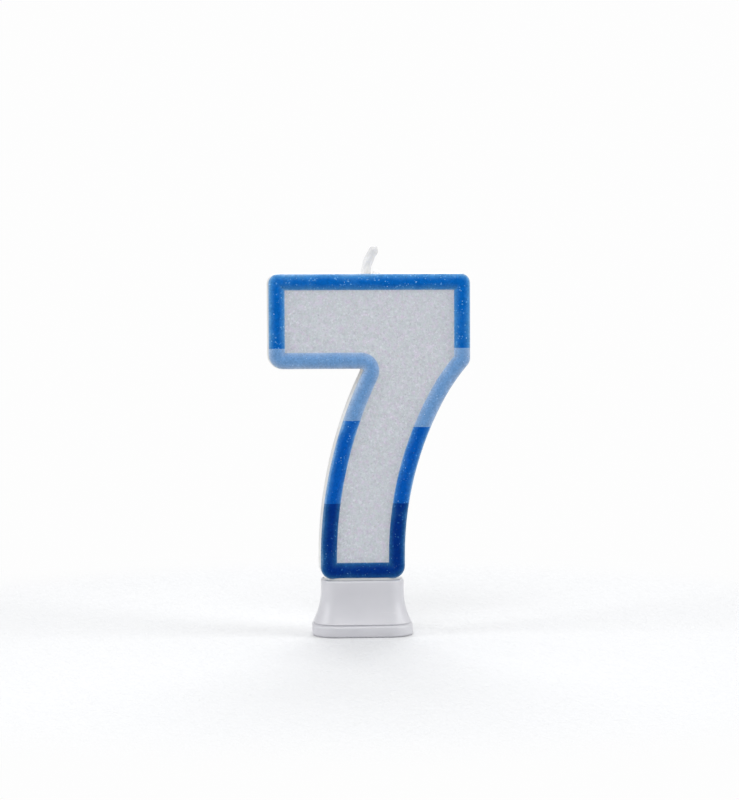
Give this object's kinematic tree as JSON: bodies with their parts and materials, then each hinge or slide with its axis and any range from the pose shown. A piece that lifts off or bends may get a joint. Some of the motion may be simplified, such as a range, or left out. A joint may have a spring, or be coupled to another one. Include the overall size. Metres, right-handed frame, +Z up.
{
  "type": "number birthday candle",
  "caption": "Numeral cake candle shaped as a 7: white wax slab with a raised glitter border in blues, a wick, and a flared pick holder with a spike.",
  "frame": {"origin": "centre of the holder's flange underside, at the level of the icing that the spike is pushed into", "axes": "+Z up along the candle, the numeral's face looks along -Y, +X to the right seen from the front"},
  "size_m": [0.04, 0.0132, 0.1071],
  "materials": {
    "holder_plastic": "white moulded polypropylene, satin gloss",
    "white_wax": "white paraffin wax, slightly translucent, soft sheen",
    "white_glitter": "white glitter wax, fine iridescent flakes",
    "royal_blue_glitter": "royal blue glitter gel, rounded bead",
    "sky_blue_glitter": "sky blue glitter gel, rounded bead",
    "mid_blue_glitter": "mid blue glitter gel, rounded bead",
    "navy_glitter": "navy glitter gel, rounded bead",
    "waxed_cotton": "braided cotton wick, primed with white wax"
  },
  "bodies": {
    "holder": {"holder": "holder_plastic"},
    "candle": {"wax_body": "white_wax", "glitter_face": "white_glitter", "rim_top_blue": "royal_blue_glitter", "rim_sky_left": "sky_blue_glitter", "rim_sky_right": "sky_blue_glitter", "rim_mid_left": "mid_blue_glitter", "rim_mid_right": "mid_blue_glitter", "rim_navy_foot": "navy_glitter", "wick_core": "waxed_cotton"},
    "wick_tip": {"wick_tip": "waxed_cotton"}
  },
  "joints": [
    {"name": "candle_lift", "type": "slide", "parent": "holder", "child": "candle", "axis": [0, 0, 1], "range_m": [0, 0.012]},
    {"name": "wick_bend", "type": "hinge", "parent": "candle", "child": "wick_tip", "pos_m": [0.001, 0.001, 0.07105], "axis": [0, 1, 0], "range_deg": [-40, 30]}
  ]
}
